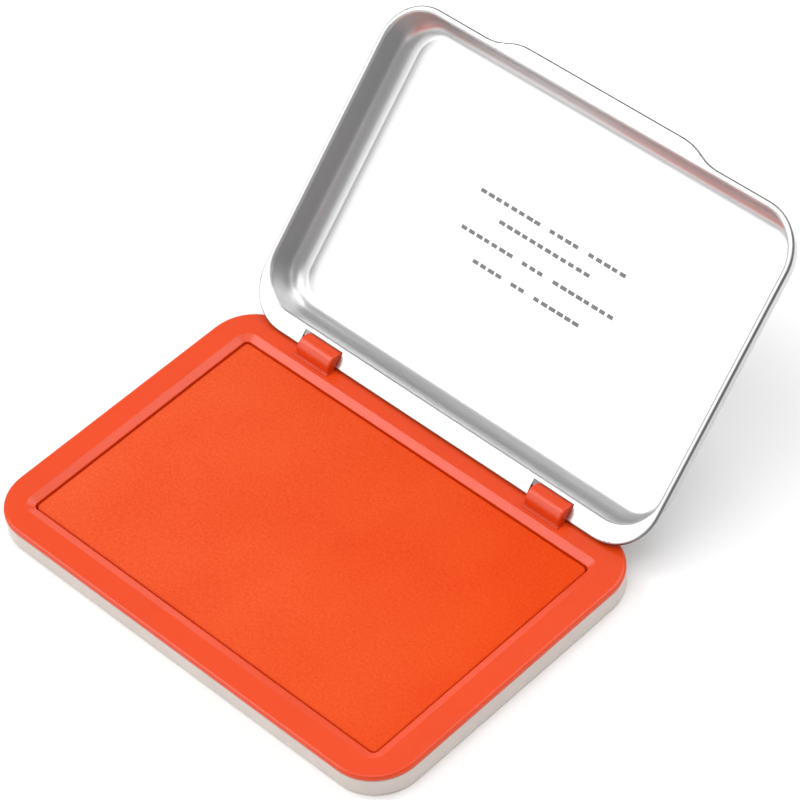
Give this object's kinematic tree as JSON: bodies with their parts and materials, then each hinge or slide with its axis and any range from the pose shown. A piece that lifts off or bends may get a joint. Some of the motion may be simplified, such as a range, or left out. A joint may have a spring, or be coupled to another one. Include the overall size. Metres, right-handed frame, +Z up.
{
  "type": "ink pad",
  "caption": "Felt ink pad set in a plastic tray on a pale base, with a hinged drawn-metal lid whose thumb tab overhangs the front edge.",
  "frame": {"origin": "centre of the base's flat underside", "axes": "+X along the hinge towards the right end, +Y from the front edge towards the hinge, +Z up"},
  "size_m": [0.135, 0.1562, 0.0714],
  "materials": {
    "shell_plastic": "satin warm grey moulding",
    "tray_plastic": "satin orange-red moulding",
    "card": "grey-brown backing board",
    "felt": "ink-soaked wool felt",
    "pad_cloth": "fine ink-soaked cloth",
    "lid_metal": "bright tin-plated sheet"
  },
  "bodies": {
    "base": {"base_shell": "shell_plastic", "ink_tray": "tray_plastic", "hinge_clip_left": "tray_plastic", "hinge_clip_right": "tray_plastic", "pad_card": "card", "pad_core": "felt", "pad_cover": "pad_cloth"},
    "lid": {"lid_shell": "lid_metal"}
  },
  "joints": [
    {"name": "lid_hinge", "type": "hinge", "parent": "base", "child": "lid", "pos_m": [0, 0.04245, 0.00765], "axis": [1, 0, 0], "range_deg": [0, 136.5]}
  ]
}
